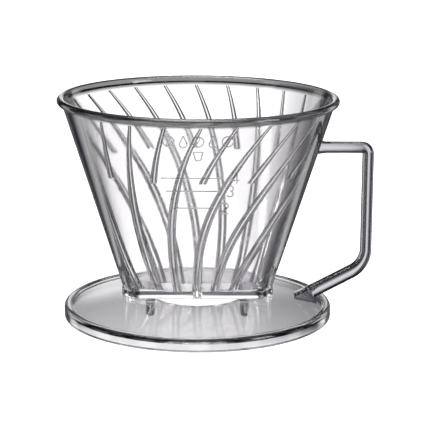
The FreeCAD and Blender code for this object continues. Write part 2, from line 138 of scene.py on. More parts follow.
PLASTIC_IOR = 1.57
CUP_FINISH = {
    "clear": (0.985, 0.972, 0.985, 1),
    "edge_power": 2.1,  # painted shade edge on: the higher, the nearer to edge on the plastic stays clear
    "waviness": 0.05,
    "haze": 0.05,  # roughness of the mould's polish
}
# The saucer's and the handle's face-on colours are grey painted shade, darker than the cup's; the
# handle's low edge power adds more painted shade edge on.
SAUCER_FINISH = {"clear": (0.63, 0.62, 0.64, 1), "edge_power": 1.6, "waviness": 0.08, "haze": 0.04}
HANDLE_FINISH = {"clear": (0.53, 0.52, 0.55, 1), "edge_power": 0.5, "waviness": 0.05, "haze": 0.03}
PAINTED_SHADE_COLOUR = (0.012, 0.0125, 0.015, 1)  # the colour of the painted shade, where it is darkest
RIB_EDGE = 0.5  # painted shade on the ribs: the higher, the nearer to edge on a rib stays clear
EDGE_BAND = 0.97  # darkness of the painted shade along the walls' outlines
EDGE_BAND_RANGE = (0.40, 0.68)
EDGE_BAND_RISE = 8 * MM  # height over which the outlines' painted shade sets in above the floor
RIM_PAINTED_SHADE = 0.8  # how much painted shade the thick rim's colour gets
RIM_FADE = 1.2 * MM
RING_CLEARNESS = 0.7  # how much less of the painted shade the saucer's ring has
RING_FADE = 0.6 * MM
HANDLING_SIZE = 14  # size of the patches of handling marks, in millimetres
HANDLING_RANGE = (0.45, 0.75)
HANDLING_HAZE = 0.03
WAVE_SIZE = 22  # size of the moulding's flow waves, in millimetres
WAVE_HEIGHT = 0.4 * MM
SCUFF_SIZE = 9  # size of the scuffed patches, in millimetres
SCUFF_RANGE = (0.55, 0.7)
SCUFF_HAZE = 0.12
SCUFF_BUMP = 0.05
SCRATCH_TURNS = (25, -52)  # degrees
SCRATCH_SIZE = 60  # millimetres, before the stretch
SCRATCH_STRETCH = (1, 18, 6)
SCRATCH_WIDTH = 0.012
SCRATCH_DEPTH = 0.02 * MM
GRAIN_SIZE = 0.25  # size of the marks' matt grain, in millimetres
MARK_DARK = (0.74, 0.745, 0.76, 1)
MARK_LIGHT = (0.9, 0.905, 0.91, 1)
MARK_HAZE = 0.22
GRAIN_HAZE = 0.2
GRAIN_BUMP = 0.4
GRAIN_DEPTH = 0.03 * MM
TABLE_WHITE = (0.8, 0.8, 0.8, 1)
TABLE_RADIUS = 8.0
TABLE_GLOW = 0.85
ROOM_STOPS = (
    (0.0, (1.1, 1.1, 1.12, 1)),
    (0.02, (0.9, 0.9, 0.92, 1)),
    (0.04, (0.05, 0.05, 0.065, 1)),
    (0.16, (0.05, 0.05, 0.065, 1)),
    (0.23, (1.35, 1.35, 1.35, 1)),
    (0.47, (1.5, 1.5, 1.5, 1)),
    (0.61, (1.4, 1.4, 1.4, 1)),
    (0.66, (0.15, 0.15, 0.17, 1)),
    (0.70, (0.09, 0.09, 0.105, 1)),
    (0.78, (0.11, 0.11, 0.125, 1)),
    (0.86, (0.9, 0.9, 0.9, 1)),
    (1.0, (0.9, 0.9, 0.9, 1)),
)
PANEL_COUNT = 8
PANEL_STOPS = (
    (0.0, (0.12, 0.12, 0.13, 1)),
    (0.24, (0.10, 0.10, 0.11, 1)),
    (0.31, (0.80, 0.80, 0.80, 1)),
    (0.35, (1.0, 1.0, 1.0, 1)),
    (0.50, (1.0, 1.0, 1.0, 1)),
    (0.58, (0.80, 0.80, 0.81, 1)),
    (0.63, (0.46, 0.46, 0.47, 1)),
    (0.68, (0.22, 0.22, 0.23, 1)),
    (0.75, (0.03, 0.03, 0.04, 1)),
    (0.90, (0.03, 0.03, 0.04, 1)),
    (1.0, (0.12, 0.12, 0.13, 1)),
)
UPRIGHT_RANGE = (0.9, 0.6)  # steepness between which the panels show
SOFTBOX_TARGET = (0, 0, 0.05)
SOFTBOXES = (  # name, place, size, power, and whether the plastic reflects it
    ("softbox_above", (-0.1, 0.1, 0.9), (0.7, 0.5), 6, True),
    ("softbox_left", (-0.8, -0.3, 0.35), (0.25, 0.6), 4, False),
    ("softbox_right", (0.75, -0.5, 0.3), (0.3, 0.6), 3, True),
)
CAMERA_PLACE = (-0.14 * MM, -683.7 * MM, 202.1 * MM)
CAMERA_PITCH = 0.2296
CAMERA_YAW = 0.0107
CAMERA_ROLL = 0.0067
LENS = 141.0


# ---------------------------------------------------------------- modelling helpers


def begin(name):
    """Names the primitive that was just added, fixes its place in its mesh, and opens it for editing."""
    piece = bpy.context.object
    piece.name = name
    bpy.ops.object.transform_apply(location=True, rotation=True, scale=True)
    bpy.ops.object.mode_set(mode="EDIT")
    bpy.ops.mesh.select_mode(type="VERT")
    return piece


def end(piece):
    bpy.ops.object.mode_set(mode="OBJECT")
    return piece


def alone(piece):
    """Selects one object and makes it the active one."""
    bpy.ops.object.select_all(action="DESELECT")
    piece.select_set(True)
    bpy.context.view_layer.objects.active = piece


def pick(piece, test):
    """Selects the vertices whose place passes a test, and the faces between them."""
    mesh = bmesh.from_edit_mesh(piece.data)
    for vert in mesh.verts:
        vert.select = test(vert.co)
    mesh.select_flush_mode()
    bmesh.update_edit_mesh(piece.data)


def picked(piece):
    mesh = bmesh.from_edit_mesh(piece.data)
    return {vert.index for vert in mesh.verts if vert.select}


def pick_from(piece, cap, side):
    """Selects the vertices of a cap that lie on one side of the middle, or all of them."""
    mesh = bmesh.from_edit_mesh(piece.data)
    for vert in mesh.verts:
        vert.select = vert.index in cap and vert.co.x * side >= 0
    mesh.select_flush_mode()
    bmesh.update_edit_mesh(piece.data)


def pick_edges(piece, test):
    """Selects the edges of which both ends pass a test."""
    bpy.ops.mesh.select_mode(type="EDGE")
    bpy.ops.mesh.select_all(action="DESELECT")
    mesh = bmesh.from_edit_mesh(piece.data)
    for edge in mesh.edges:
        if all(test(vert.co) for vert in edge.verts):
            edge.select = True
    bmesh.update_edit_mesh(piece.data)


def turn(angle, centre, axis="Z"):
    """Turns the selection. With no window the operator turns the other way, so the angle is negated."""
    bpy.ops.transform.rotate(value=-angle, orient_axis=axis, center_override=centre)


def spread_oval(piece, cap, before, after):
    """Takes a level oval (half straight, end radius) to another, each round end about its own centre."""
    z = after[2]
    grow = after[1] / before[1]
    for side in (1, -1):
        pick_from(piece, cap, side)
        bpy.ops.transform.resize(value=(grow, grow, 1), center_override=(side * before[0], 0, z))
        bpy.ops.transform.translate(value=(side * (after[0] - before[0]), 0, 0))
    pick_from(piece, cap, 0)


def follow_sections(piece, sections):
    """Extrudes the selected cap through level sections, each given as half straight, radius, height."""
    for before, after in zip(sections, sections[1:]):
        rise = after[2] - before[2]
        bpy.ops.mesh.extrude_region_move(TRANSFORM_OT_translate={"value": (0, 0, rise)})
        spread_oval(piece, picked(piece), before, after)


def add_oval_block(name, low, high):
    """A solid between two level sections, with no corner on the middle plane."""
    bpy.ops.object.select_all(action="DESELECT")
    bpy.ops.mesh.primitive_cylinder_add(
        vertices=ROUND_STEPS,
        radius=low[1],
        depth=high[2] - low[2],
        location=(0, 0, (low[2] + high[2]) / 2),
        rotation=(0, 0, math.pi / ROUND_STEPS),
        end_fill_type="NGON",
    )
    piece = begin(name)
    middle = (low[2] + high[2]) / 2
    for section, side in ((low, -1), (high, 1)):
        pick(piece, lambda co: (co.z - middle) * side > 0)
        spread_oval(piece, picked(piece), (0, low[1], section[2]), section)
    return piece


def combine(piece, other, operation):
    """Applies a Boolean modifier, and removes the other solid."""
    alone(piece)
    modifier = piece.modifiers.new("boolean", "BOOLEAN")
    modifier.operation = operation
    modifier.solver = "MANIFOLD"
    modifier.object = other
    bpy.ops.object.modifier_apply(modifier=modifier.name)
    bpy.data.objects.remove(other)
    return piece


def join(pieces):
    bpy.ops.object.select_all(action="DESELECT")
    for piece in pieces:
        piece.select_set(True)
    bpy.context.view_layer.objects.active = pieces[0]
    bpy.ops.object.join()
    return pieces[0]


def smooth(piece):
    alone(piece)
    bpy.ops.object.shade_smooth_by_angle(angle=SMOOTH_ANGLE)
    return piece


def arc_sections(radius, height, size, first, last, steps):
    """Round sections along an arc, between two angles counted from outward towards up."""
    sections = []
    for step in range(steps + 1):
        angle = math.radians(first + (last - first) * step / steps)
        sections.append((0, radius + size * math.cos(angle), height + size * math.sin(angle)))
    return sections


# ---------------------------------------------------------------- cup


def wall_section(z, inset):
    """The level oval that the wall follows: half of its straight side, its end radius, and z."""
    share = (z - BOTTOM_Z) / (WALL_TOP_Z - BOTTOM_Z)
    radius = BOTTOM_RADIUS + (RIM_RADIUS - BOTTOM_RADIUS) * share
    return HALF_STRAIGHT * (1 - share), radius - inset, z


def rim_sections():
    """Over the bead, from the wall's outer edge to its inner edge."""
    sections = arc_sections(BEAD_CENTRE, BEAD_CENTRE_Z, BEAD_RADIUS, -90, 90, BEAD_STEPS)
    lip = Vector((RIM_RADIUS - WALL + RIM_LIP, BEAD_CENTRE_Z))
    crown = Vector((BEAD_CENTRE, BEAD_CENTRE_Z + BEAD_RADIUS))
    outward = Vector((lip.y - crown.y, crown.x - lip.x)).normalized()
    steps = 8
    for step in range(1, steps + 1):
        share = step / steps
        point = crown.lerp(lip, share) + outward * RIM_BULGE * 4 * share * (1 - share)
        sections.append((0, point.x, point.y))
    return sections


def on_collar(point):
    """True for a point as far out as the collar's outer face."""
    middle = min(max(point.x, -HALF_STRAIGHT), HALF_STRAIGHT)
    return math.hypot(point.x - middle, point.y) > COLLAR_RADIUS - SEAM


def make_cup_shell():
    """Collar, wall, rim and cavity, as one closed skin drawn from the bottom up and back down inside."""
    collar_low = (HALF_STRAIGHT, COLLAR_RADIUS, COLLAR_LOW_Z + SEAM)
    collar_high = (HALF_STRAIGHT, COLLAR_RADIUS, BOTTOM_Z)
    cup = add_oval_block("cup_body", collar_low, collar_high)
    pick(cup, lambda co: co.z > BOTTOM_Z - COLLAR_STEP)
    sections = [collar_high, wall_section(BOTTOM_Z, 0), wall_section(WALL_TOP_Z, 0)]
    sections += rim_sections()
    sections += [wall_section(WALL_TOP_Z, WALL), wall_section(FLOOR_CENTRE_Z, WALL)]
    follow_sections(cup, sections)
    for edge_z in (COLLAR_LOW_Z + SEAM, BOTTOM_Z):
        pick_edges(cup, lambda co: abs(co.z - edge_z) < SEAM / 2 and on_collar(co))
        bpy.ops.mesh.bevel(offset=COLLAR_EDGE, offset_type="OFFSET", segments=4, affect="EDGES")
    return end(cup)


def make_floor_slope():
    """One half of the floor: it rises from the drip hole to an end of the oval."""
    inset = WALL - FLOOR_BITE
    low = wall_section(BOTTOM_Z - 2 * FLOOR_BITE, inset)
    high = wall_section(FLOOR_END_Z + 2 * FLOOR_BITE, inset)
    slope = add_oval_block("floor_slope", low, high)
    rise = (FLOOR_END_Z - FLOOR_CENTRE_Z) / (HALF_STRAIGHT + BOTTOM_RADIUS - DRIP_HOLE)
    bpy.ops.mesh.select_all(action="SELECT")
    bpy.ops.mesh.bisect(
        plane_co=(DRIP_HOLE, 0, FLOOR_CENTRE_Z),
        plane_no=(-rise, 0, 1),
        use_fill=True,
        clear_outer=True,
    )
    return end(slope)


def turned_copy(piece, angle):
    """A copy with its own mesh, turned about the cup's axis."""
    copy = piece.copy()
    copy.data = piece.data.copy()
    copy.data.transform(Matrix.Rotation(angle, 4, "Z"))
    bpy.context.collection.objects.link(copy)
    return copy


def place_round(z, inset, degrees):
    """A point this far round the wall, counted from +X, and the way the wall faces there."""
    half, radius, _ = wall_section(z, WALL)
    reach = wall_section(z, inset)[1]
    quarter = math.pi * radius / 2
    length = 4 * (half + quarter)
    way = (degrees % 360) / 360 * length
    if way < quarter:
        middle, facing = half, way / radius
    elif way < quarter + 2 * half:
        middle, facing = half - (way - quarter), math.pi / 2
    elif way < 3 * quarter + 2 * half:
        middle, facing = -half, math.pi / 2 + (way - quarter - 2 * half) / radius
    elif way < 3 * quarter + 4 * half:
        middle, facing = way - 3 * quarter - 3 * half, 3 * math.pi / 2
    else:
        middle, facing = half, (way - 4 * half) / radius
    return Vector((middle + reach * math.cos(facing), reach * math.sin(facing), z)), facing


def rib_places(index):
    """Where a rib is at the top and at the bottom. Short ribs (odd) lie between long ones (even)."""
    top = FIRST_RIB_TOP + 180 / RIB_PAIRS * index / 2
    pair = index // 2
    low = FIRST_RIB_LOW + RIB_PITCH_LOW * pair
    if index % 2:
        beyond = FIRST_RIB_LOW + (RIB_PITCH_LOW * (pair + 1) if pair + 1 < RIB_PAIRS else 180)
        low = (low + beyond) / 2
    return top, low


def rib_stations(index, low_z, high_z):
    """Centre, facing and radius of a rib at even heights. It is slimmer and sunk deeper at the top."""
    top, low = rib_places(index)
    stations = []
    for step in range(RIB_STEPS + 1):
        z = low_z + (high_z - low_z) * step / RIB_STEPS
        share = (z - BOTTOM_Z) / (WALL_TOP_Z - BOTTOM_Z)
        lean = max(share, 0) ** RIB_SWEEP_POWER
        fade = min(max((share - RIB_GROW_END) / (1 - RIB_GROW_END), 0), 1)
        rise = RIB_RISE_LOW + (RIB_RISE_TOP - RIB_RISE_LOW) * fade
        radius = RIB_RADIUS + (RIB_TOP_RADIUS - RIB_RADIUS) * fade**RIB_TAPER_POWER
        inset = WALL - (radius - rise)
        stations.append((*place_round(z, inset, low + (top - low) * lean), radius))
    return stations


def station_stretch(stations, number):
    """How much wider than a unit circle a level cut through the slanting bar is, across and along."""
    before = stations[max(number - 1, 0)][0]
    after = stations[min(number + 1, len(stations) - 1)][0]
    way = (after - before) / (after.z - before.z)
    _, facing, radius = stations[number]
    across = way.x * math.cos(facing) + way.y * math.sin(facing)
    along = way.y * math.cos(facing) - way.x * math.sin(facing)
    return radius * math.hypot(1, across), radius * math.hypot(1, along)


def make_rib(name, index, low_z, high_z):
    """A bar with a round front and a flat back, extruded up the wall in level steps."""
    stations = rib_stations(index, low_z, high_z)
    centre, facing, radius = stations[0]
    bpy.ops.object.select_all(action="DESELECT")
    bpy.ops.mesh.primitive_circle_add(
        vertices=RIB_CORNERS, radius=radius, fill_type="NGON", location=centre
    )
    rib = begin(name)
    pick(rib, lambda co: co.x > centre.x)
    bpy.ops.transform.resize(value=(RIB_BACK, 1, 1), center_override=centre)
    bpy.ops.mesh.select_all(action="SELECT")
    across, along = station_stretch(stations, 0)
    bpy.ops.transform.resize(value=(across / radius, along / radius, 1), center_override=centre)
    turn(facing, centre)
    for number in range(1, len(stations)):
        following, new_facing, _ = stations[number]
        bpy.ops.mesh.extrude_region_move(TRANSFORM_OT_translate={"value": following - centre})
        turn(-facing, following)
        new_across, new_along = station_stretch(stations, number)
        grow = (new_across / across, new_along / along, 1)
        bpy.ops.transform.resize(value=grow, center_override=following)
        turn(new_facing, following)
        centre, facing, across, along = following, new_facing, new_across, new_along
    bpy.ops.mesh.select_all(action="SELECT")
    bpy.ops.mesh.normals_make_consistent(inside=False)
    return end(rib)


def make_ribs():
    """Every rib of one half of the cup, and the same again turned by half a circle."""
    ribs = []
    for index in range(2 * RIB_PAIRS):
        low_z = SHORT_RIB_LOW_Z if index % 2 else RIB_FOOT_Z
        rib = make_rib("rib_%02d" % index, index, low_z, WALL_TOP_Z - RIB_TOP_GAP)
        ribs += [rib, turned_copy(rib, math.pi)]
    return join(ribs)


def make_drip_hole():
    bpy.ops.object.select_all(action="DESELECT")
    bpy.ops.mesh.primitive_cylinder_add(
        vertices=48, radius=DRIP_HOLE, depth=4 * DRIP_HOLE, location=(0, 0, COLLAR_LOW_Z + DRIP_HOLE)
    )
    return end(begin("drip_hole"))


def wall_facing(point):
    """The way the wall faces at a point on it: outward and down, square to the surface."""
    half = wall_section(point.z, 0)[0]
    middle = min(max(point.x, -half), half)
    out = Vector((point.x - middle, point.y)).normalized()
    spread = RIM_RADIUS - BOTTOM_RADIUS - HALF_STRAIGHT * abs(out.x)
    return Vector((out.x, out.y, -spread / (WALL_TOP_Z - BOTTOM_Z))).normalized()


def on_wall(point):
    """True for a point on the wall's outer or inner face."""
    half, radius, z = wall_section(point.z, 0)
    middle = min(max(point.x, -half), half)
    depth = radius - math.hypot(point.x - middle, point.y)
    return BOTTOM_Z - SEAM < z < WALL_TOP_Z + SEAM and min(abs(depth), abs(depth - WALL)) < SEAM


def is_inside(point):
    """True for a point inside the cup, above its floor and below the rim."""
    half, radius, z = wall_section(point.z, WALL)
    middle = min(max(point.x, -half), half)
    within = math.hypot(point.x - middle, point.y) < radius + SEAM
    return within and FLOOR_END_Z < z < WALL_TOP_Z - SEAM


def true_wall_shading(cup):
    """Shades the wall as the curved surface that it is, also between ribs, and marks the ribs."""
    mesh = cup.data
    ribs = mesh.attributes.new("rib", "FLOAT", "FACE")
    points = [vert.co for vert in mesh.vertices]
    normals = [corner.vector.copy() for corner in mesh.corner_normals]
    for face in mesh.polygons:
        along = face.normal.dot(wall_facing(face.center))
        if abs(along) > FACING_MATCH and all(on_wall(points[number]) for number in face.vertices):
            for corner, number in zip(face.loop_indices, face.vertices):
                normals[corner] = wall_facing(points[number]) * math.copysign(1, along)
        elif is_inside(face.center):
            ribs.data[face.index].value = 1
    mesh.normals_split_custom_set(normals)
    return cup


def make_cup():
    cup = make_cup_shell()
    slope = make_floor_slope()
    combine(cup, turned_copy(slope, math.pi), "UNION")
    combine(cup, slope, "UNION")
    combine(cup, make_drip_hole(), "DIFFERENCE")
    combine(cup, make_ribs(), "UNION")
    return true_wall_shading(smooth(cup))


# ---------------------------------------------------------------- saucer


def make_leg(name, low, high):
    """An upright pin with a rounded lower end."""
    centre = (low + high) / 2
    tip_z = low.z + LEG_RADIUS
    bpy.ops.object.select_all(action="DESELECT")
    bpy.ops.mesh.primitive_cylinder_add(
        vertices=40, radius=LEG_RADIUS, depth=COLLAR_LOW_Z - tip_z,
        location=(centre.x, centre.y, (COLLAR_LOW_Z + tip_z) / 2),
    )
    leg = begin(name)
    pick(leg, lambda co: co.z < (COLLAR_LOW_Z + tip_z) / 2)
    steps = 10
    for step in range(1, steps):
        angle, last = (math.pi / 2 * number / steps for number in (step, step - 1))
        drop = LEG_RADIUS * (math.sin(angle) - math.sin(last))
        bpy.ops.mesh.extrude_region_move(TRANSFORM_OT_translate={"value": (0, 0, -drop)})
        grow = math.cos(angle) / math.cos(last)
        z = tip_z - LEG_RADIUS * math.sin(angle)
        bpy.ops.transform.resize(value=(grow, grow, 1), center_override=(centre.x, centre.y, z))
    return end(leg)


def make_saucer():
    """A plate round a window, and the raised ring that it stands on, as one closed skin."""
    plate_edge_z = RING_TOP_Z - RING_FILLET_START
    corners = [
        (0, WINDOW, PLATE_TOP_Z - PLATE),
        (0, WINDOW, PLATE_TOP_Z),
        (0, PLATE_FLAT, PLATE_TOP_Z),
        (0, RING_INNER, plate_edge_z),
        (0, RING_INNER, RING_TOP_Z),
        (0, RING_RADIUS, RING_TOP_Z),
        (0, RING_RADIUS, 0),
        (0, RING_INNER, 0),
        (0, RING_INNER, plate_edge_z - PLATE),
        (0, PLATE_FLAT, PLATE_TOP_Z - PLATE),
    ]
    bpy.ops.object.select_all(action="DESELECT")
    bpy.ops.mesh.primitive_circle_add(
        vertices=ROUND_STEPS, radius=WINDOW, fill_type="NOTHING",
        location=(0, 0, corners[0][2]), rotation=(0, 0, math.pi / ROUND_STEPS),
    )
    saucer = begin("saucer_body")
    bpy.ops.mesh.select_all(action="SELECT")
    for before, after in zip(corners, corners[1:]):
        rise = after[2] - before[2]
        bpy.ops.mesh.extrude_region_move(TRANSFORM_OT_translate={"value": (0, 0, rise)})
        grow = after[1] / before[1]
        bpy.ops.transform.resize(value=(grow, grow, 1), center_override=(0, 0, after[2]))
    last = corners[-1]

    def on_open_edge(co):
        radius = math.hypot(co.x, co.y)
        return any(
            abs(radius - r) < SEAM and abs(co.z - z) < SEAM for _, r, z in (corners[0], last)
        )

    pick_edges(saucer, on_open_edge)
    bpy.ops.mesh.bridge_edge_loops()
    bpy.ops.mesh.select_all(action="SELECT")
    bpy.ops.mesh.normals_make_consistent(inside=False)
    bevels = (
        (RING_RADIUS, RING_TOP_Z, RING_OUTER_FILLET, 10),
        (RING_INNER, RING_TOP_Z, RING_INNER_FILLET, 6),
        (RING_RADIUS, 0, RING_FOOT_FILLET, 6),
        (RING_INNER, 0, RING_FOOT_FILLET, 6),
    )
    for radius, z, size, segments in bevels:
        pick_edges(
            saucer,
            lambda co: abs(math.hypot(co.x, co.y) - radius) < SEAM and abs(co.z - z) < SEAM,
        )
        bpy.ops.mesh.bevel(offset=size, offset_type="OFFSET", segments=segments, affect="EDGES")
    end(saucer)
    legs = [make_leg("leg", *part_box("locating_leg_%d" % number)) for number in range(1, 5)]
    combine(saucer, join(legs), "UNION")
    return smooth(saucer)


# ---------------------------------------------------------------- handle


def plate_height(radius):
    """Height of the plate's top where it slopes down to the ring."""
    edge_z = RING_TOP_Z - RING_FILLET_START
    return PLATE_TOP_Z - (radius - PLATE_FLAT) / (RING_INNER - PLATE_FLAT) * (PLATE_TOP_Z - edge_z)


def extend(distance, along):
    bpy.ops.mesh.extrude_region_move(TRANSFORM_OT_translate={"value": along * distance})


def sweep_bend(centre, angle, arm, grow=1.0, steps=14):
    """Extrudes the selected cap round a bend in the XZ plane, and makes it grow on the way."""
    step_grow = grow ** (1 / steps)
    for step in range(1, steps + 1):
        bpy.ops.mesh.extrude_region_move(TRANSFORM_OT_translate={"value": (0, 0, 0)})
        turn(angle / steps, centre, "Y")
        arm = Matrix.Rotation(angle / steps, 3, "Y") @ arm
        bpy.ops.transform.resize(value=(step_grow,) * 3, center_override=centre + arm)


def make_bar(strut_corner_z, foot_point):
    """A round bar: root, level top, tight bend, upright grip, wide bend and strut."""
    grip_x = BAR_HIGH.x - BAR_RADIUS
    top_z = BAR_HIGH.z - BAR_RADIUS
    bpy.ops.object.select_all(action="DESELECT")
    bpy.ops.mesh.primitive_circle_add(
        vertices=48, radius=ROOT_RADIUS, fill_type="NGON",
        location=(ROOT_LOW.x - ROOT_BITE, 0, top_z), rotation=(0, math.pi / 2, 0),
    )
    bar = begin("handle_body")
    bpy.ops.mesh.select_all(action="SELECT")
    outward = Vector((1, 0, 0))
    extend(ROOT_HIGH.x - ROOT_LOW.x + ROOT_BITE, outward)
    grow = BAR_RADIUS / ROOT_RADIUS
    bpy.ops.transform.resize(value=(1, grow, grow), center_override=(ROOT_HIGH.x, 0, top_z))
    extend(grip_x - TOP_BEND - ROOT_HIGH.x, outward)
    centre = Vector((grip_x - TOP_BEND, 0, top_z - TOP_BEND))
    sweep_bend(centre, math.pi / 2, Vector((0, 0, TOP_BEND)))
    bend = math.pi / 2 - STRUT_ANGLE
    centre = Vector((grip_x - STRUT_BEND, 0, strut_corner_z + STRUT_BEND * math.tan(bend / 2)))
    extend(top_z - TOP_BEND - centre.z, Vector((0, 0, -1)))
    sweep_bend(centre, bend, Vector((STRUT_BEND, 0, 0)), STRUT_RADIUS / BAR_RADIUS)
    strut_top = centre + Matrix.Rotation(bend, 3, "Y") @ Vector((STRUT_BEND, 0, 0))
    extend(1, foot_point - strut_top)
    bpy.ops.mesh.select_all(action="SELECT")
    bpy.ops.mesh.normals_make_consistent(inside=False)
    return end(bar)


def make_foot(along, toe_top):
    """The block that joins the strut to the plate: its top slopes with the strut."""
    width = FOOT_HIGH.y - FOOT_LOW.y
    bpy.ops.object.select_all(action="DESELECT")
    bpy.ops.mesh.primitive_cube_add(
        size=1, location=(FOOT_LOW.x + width, 0, PLATE_TOP_Z), scale=(2 * width, width, 2 * width)
    )
    foot = begin("handle_foot_block")
    across = Vector((-along.z, 0, along.x))
    end_top = toe_top + along * FOOT_LENGTH
    plate_fall = plate_height(FOOT_LOW.x) - plate_height(FOOT_LOW.x + width)
    down = Vector((-plate_fall, 0, -width)).normalized()
    cuts = (
        (toe_top, across),
        (end_top, along),
        (Vector((FOOT_LOW.x, 0, plate_height(FOOT_LOW.x) + SEAM)), down),
    )
    for point, outward in cuts:
        bpy.ops.mesh.select_all(action="SELECT")
        bpy.ops.mesh.bisect(plane_co=point, plane_no=outward, use_fill=True, clear_outer=True)
    pick_edges(foot, lambda co: co.z > plate_height(FOOT_LOW.x) + FOOT_EDGE)
    bpy.ops.mesh.bevel(offset=FOOT_EDGE, offset_type="OFFSET", segments=3, affect="EDGES")
    return end(foot)


def make_handle():
    """The bar, its foot, and the wall's outside taken off its root."""
    along = Vector((math.cos(STRUT_ANGLE), 0, math.sin(STRUT_ANGLE)))
    foot_z = plate_height(FOOT_LOW.x) - FOOT_SINK
    toe_top = Vector((FOOT_LOW.x, 0, foot_z + FOOT_TOE_HEIGHT))
    reach = FOOT_LENGTH * along.x + FOOT_TOE_HEIGHT * along.x * along.z - 2 * FOOT_EDGE
    foot_point = Vector((FOOT_LOW.x + reach, 0, foot_z + reach * math.tan(STRUT_ANGLE)))
    corner_z = foot_z + (BAR_HIGH.x - BAR_RADIUS - FOOT_LOW.x) * math.tan(STRUT_ANGLE)
    handle = make_bar(corner_z, foot_point)
    combine(handle, make_foot(along, toe_top), "UNION")
    outside = add_oval_block(
        "cup_outside", wall_section(BOTTOM_Z, -SEAM), wall_section(WALL_TOP_Z, -SEAM)
    )
    combine(handle, end(outside), "DIFFERENCE")
    return smooth(handle)


# ---------------------------------------------------------------- raised marks


def make_mark(node):
    """A raised mark with softened edges, a hairline clear of the wall."""
    bpy.ops.object.select_all(action="DESELECT")
    mark = bpy.data.objects.new(node + "_raised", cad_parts[node].data.copy())
    bpy.context.collection.objects.link(mark)
    alone(mark)
    bpy.ops.object.mode_set(mode="EDIT")
    bpy.ops.mesh.select_all(action="SELECT")
    bpy.ops.mesh.remove_doubles(threshold=MM / 1000)
    bpy.ops.mesh.dissolve_limited(angle_limit=math.radians(1))
    bpy.ops.transform.translate(value=(0, -SEAM, 0))
    bpy.ops.object.mode_set(mode="OBJECT")
    bevel = mark.modifiers.new("soft_edges", "BEVEL")
    bevel.width = MARK_EDGE
    bevel.segments = 2
    bevel.limit_method = "ANGLE"
    bevel.angle_limit = math.radians(50)
    bpy.ops.object.modifier_apply(modifier=bevel.name)
    return smooth(mark)


# ---------------------------------------------------------------- finishes


class Socket:
    """A shader socket that can be used in Python arithmetic; each operation adds a Math node."""

    def __init__(self, tree, source):
        self.tree = tree
        self.source = source

    def node(self, kind, settings=None, inputs=None, output=0):
        """Adds any node, sets its settings, fills or links its inputs, and gives one of its outputs."""
        made = self.tree.nodes.new(kind)
        for key, value in (settings or {}).items():
            if key == "stops":
                set_stops(made.color_ramp, value)
            else:
                setattr(made, key, value)
        for key, value in (inputs or {}).items():
            if isinstance(value, Socket):
                self.tree.links.new(value.source, made.inputs[key])
            else:
                made.inputs[key].default_value = value
        return Socket(self.tree, made.outputs[output])

    def math(self, operation, *values):
        """A Math node on this value and the others."""
        inputs = dict(enumerate((self, *values)))
        return self.node("ShaderNodeMath", {"operation": operation}, inputs)

    def __add__(self, other):
        return self.math("ADD", other)

    def __sub__(self, other):
        return self.math("SUBTRACT", other)

    def __mul__(self, other):
        return self.math("MULTIPLY", other)

    def __pow__(self, other):
        return self.math("POWER", other)

    def __rsub__(self, other):
        return self.node("ShaderNodeMath", {"operation": "SUBTRACT"}, {0: other, 1: self})

    def __abs__(self):
        return self.math("ABSOLUTE")

    __radd__ = __add__
    __rmul__ = __mul__

    def mix(self, low, high):
        """A colour between two colours, by this value."""
        inputs = {"Factor": self, 6: low, 7: high}
        return self.node("ShaderNodeMix", {"data_type": "RGBA"}, inputs, 2)

    def between(self, low, high):
        """This value stretched so that low becomes 0 and high becomes 1."""
        inputs = {"Value": self, "From Min": low, "From Max": high}
        return self.node("ShaderNodeMapRange", {"clamp": True}, inputs)


def set_stops(ramp, stops):
    """Gives a colour ramp its (place, colour) stops."""
    while len(ramp.elements) < len(stops):
        ramp.elements.new(1.0)
    for element, (place, colour) in zip(ramp.elements, stops):
        element.position = place
        element.color = colour


def new_material(name):
    """A material with one Principled shader; gives it, that shader, and the place on the piece."""
    material = bpy.data.materials.new(name)
    material.use_nodes = True
    tree = material.node_tree
    shader = tree.nodes["Principled BSDF"]
    place = Socket(tree, None).node("ShaderNodeTexCoord", output=3)
    return material, shader, place


def feed(shader, name, value):
    value.tree.links.new(value.source, shader.inputs[name])


def noise(place, size, detail):
    """Noise with features of about this many millimetres."""
    inputs = {"Vector": place, "Scale": 1 / (size * MM), "Detail": detail}
    return place.node("ShaderNodeTexNoise", {}, inputs)


def add_bump(place, strength, distance, height, **others):
    """Bumps of this height, on top of the bumps given as Normal."""
    inputs = {"Strength": strength, "Distance": distance, "Height": height, **others}
    return place.node("ShaderNodeBump", {}, inputs)


def painted_shade_share(place, edge_power, rim):
    """How much painted shade goes into the plastic's colour: most edge on, in the thick rim, in the ribs
    and at the outlines.
    """
    facing = place.node("ShaderNodeLayerWeight", {}, {"Blend": 0.5}, 1)
    height = place.node("ShaderNodeSeparateXYZ", {}, {0: place}, 2)
    level = place.node("ShaderNodeVectorMath", {"operation": "MULTIPLY"}, {0: place, 1: (1, 1, 0)})
    radius = place.node("ShaderNodeVectorMath", {"operation": "LENGTH"}, {0: level}, 1)
    ribs = place.node("ShaderNodeAttribute", {"attribute_name": "rib"}, {}, 2)
    above_floor = height.between(FLOOR_END_Z, FLOOR_END_Z + EDGE_BAND_RISE)
    band = EDGE_BAND * facing.between(*EDGE_BAND_RANGE) * above_floor
    edge = facing**edge_power
    # Painted shade in the rim, the ribs and along the outlines, on top of the painted shade edge on.
    for part in (RIM_PAINTED_SHADE * rim, ribs * facing**RIB_EDGE, band):
        edge = edge.math("MAXIMUM", part)
    outer = radius.between(RING_INNER - RING_FADE, RING_INNER)
    ring = outer * height.between(2 * RING_TOP_Z, RING_TOP_Z)
    return edge * (1 - RING_CLEARNESS * ring)


